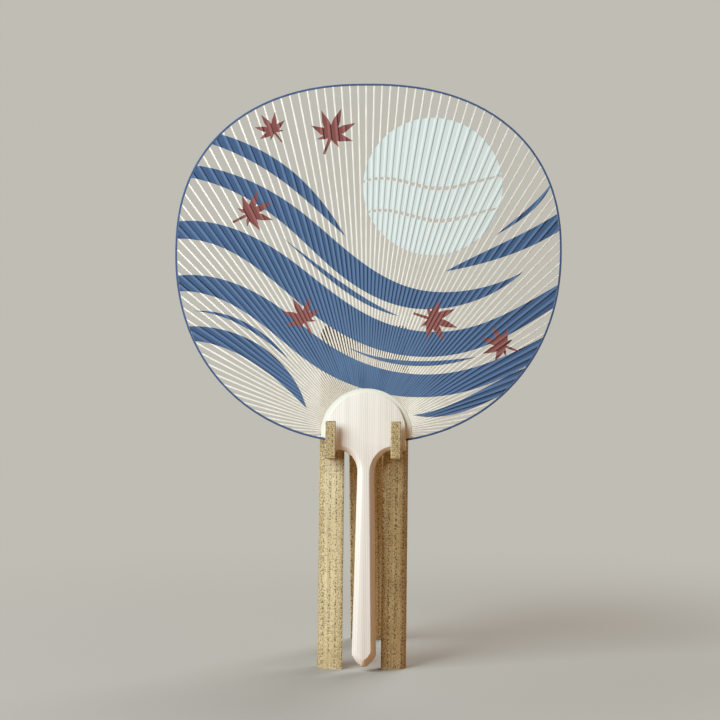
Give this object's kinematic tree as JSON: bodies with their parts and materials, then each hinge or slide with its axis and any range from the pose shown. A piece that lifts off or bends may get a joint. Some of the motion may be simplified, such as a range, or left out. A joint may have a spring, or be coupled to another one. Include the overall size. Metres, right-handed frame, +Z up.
{
  "type": "round uchiwa fan on a folding stand",
  "caption": "Round openwork hand fan with split-bamboo ribs, cut papers and an inserted wooden handle, standing in the hooks of a folding bamboo easel.",
  "frame": {"origin": "middle of the floor area that the object covers, on the surface that it stands on", "axes": "+Z up, -Y towards the viewer of the fan's front, +X to that viewer's right"},
  "size_m": [0.25, 0.1218, 0.3654],
  "materials": {
    "speckled_bamboo": "natural skin with dark speckles",
    "plain_bamboo": "cut and sanded",
    "handle_wood": "planed, unvarnished, straight grain",
    "bamboo_rib": "split and scraped",
    "cream_paper": "matte handmade paper",
    "indigo_paper": "matte dyed handmade paper",
    "ice_blue_paper": "matte dyed handmade paper",
    "brick_red_paper": "matte dyed handmade paper"
  },
  "bodies": {
    "stand": {"stand_board": "speckled_bamboo", "hinge_pin": "plain_bamboo", "hook_arm_left": "plain_bamboo", "hook_arm_right": "plain_bamboo", "hook_lip_left": "speckled_bamboo", "hook_lip_right": "speckled_bamboo"},
    "rear_leg": {"rear_leg": "speckled_bamboo"},
    "fan": {"back_leaf_1": "brick_red_paper", "back_leaf_2": "brick_red_paper", "back_leaf_3": "brick_red_paper", "back_leaf_4": "brick_red_paper", "back_leaf_5": "brick_red_paper", "back_leaf_6": "brick_red_paper", "back_moon_1": "ice_blue_paper", "back_moon_2": "ice_blue_paper", "back_moon_3": "ice_blue_paper", "back_ripples": "indigo_paper", "back_stream_1": "indigo_paper", "back_stream_2": "indigo_paper", "back_stream_3": "indigo_paper", "back_stream_4": "indigo_paper", "back_stream_5": "indigo_paper", "back_stream_6": "indigo_paper", "back_stream_7": "indigo_paper", "back_waist_paper": "cream_paper", "front_leaf_1": "brick_red_paper", "front_leaf_2": "brick_red_paper", "front_leaf_3": "brick_red_paper", "front_leaf_4": "brick_red_paper", "front_leaf_5": "brick_red_paper", "front_leaf_6": "brick_red_paper", "front_moon_1": "ice_blue_paper", "front_moon_2": "ice_blue_paper", "front_moon_3": "ice_blue_paper", "front_ripples": "indigo_paper", "front_stream_1": "indigo_paper", "front_stream_2": "indigo_paper", "front_stream_3": "indigo_paper", "front_stream_4": "indigo_paper", "front_stream_5": "indigo_paper", "front_stream_6": "indigo_paper", "front_stream_7": "indigo_paper", "front_waist_paper": "cream_paper", "handle": "handle_wood", "rib_group_01": "bamboo_rib", "rib_group_02": "bamboo_rib", "rib_group_03": "bamboo_rib", "rib_group_04": "bamboo_rib", "rib_group_05": "bamboo_rib", "rib_group_06": "bamboo_rib", "rib_group_07": "bamboo_rib", "rib_group_08": "bamboo_rib", "rib_group_09": "bamboo_rib", "rib_group_10": "bamboo_rib", "rim_tape": "indigo_paper"}
  },
  "joints": [
    {"name": "rear_leg_fold", "type": "hinge", "parent": "stand", "child": "rear_leg", "pos_m": [-0.0018, 0.00353, 0.15842], "axis": [-1, 0, 0], "range_deg": [0, 36]},
    {"name": "fan_lift", "type": "slide", "parent": "stand", "child": "fan", "axis": [0, 0.309, 0.9511], "range_m": [0, 0.04]}
  ]
}
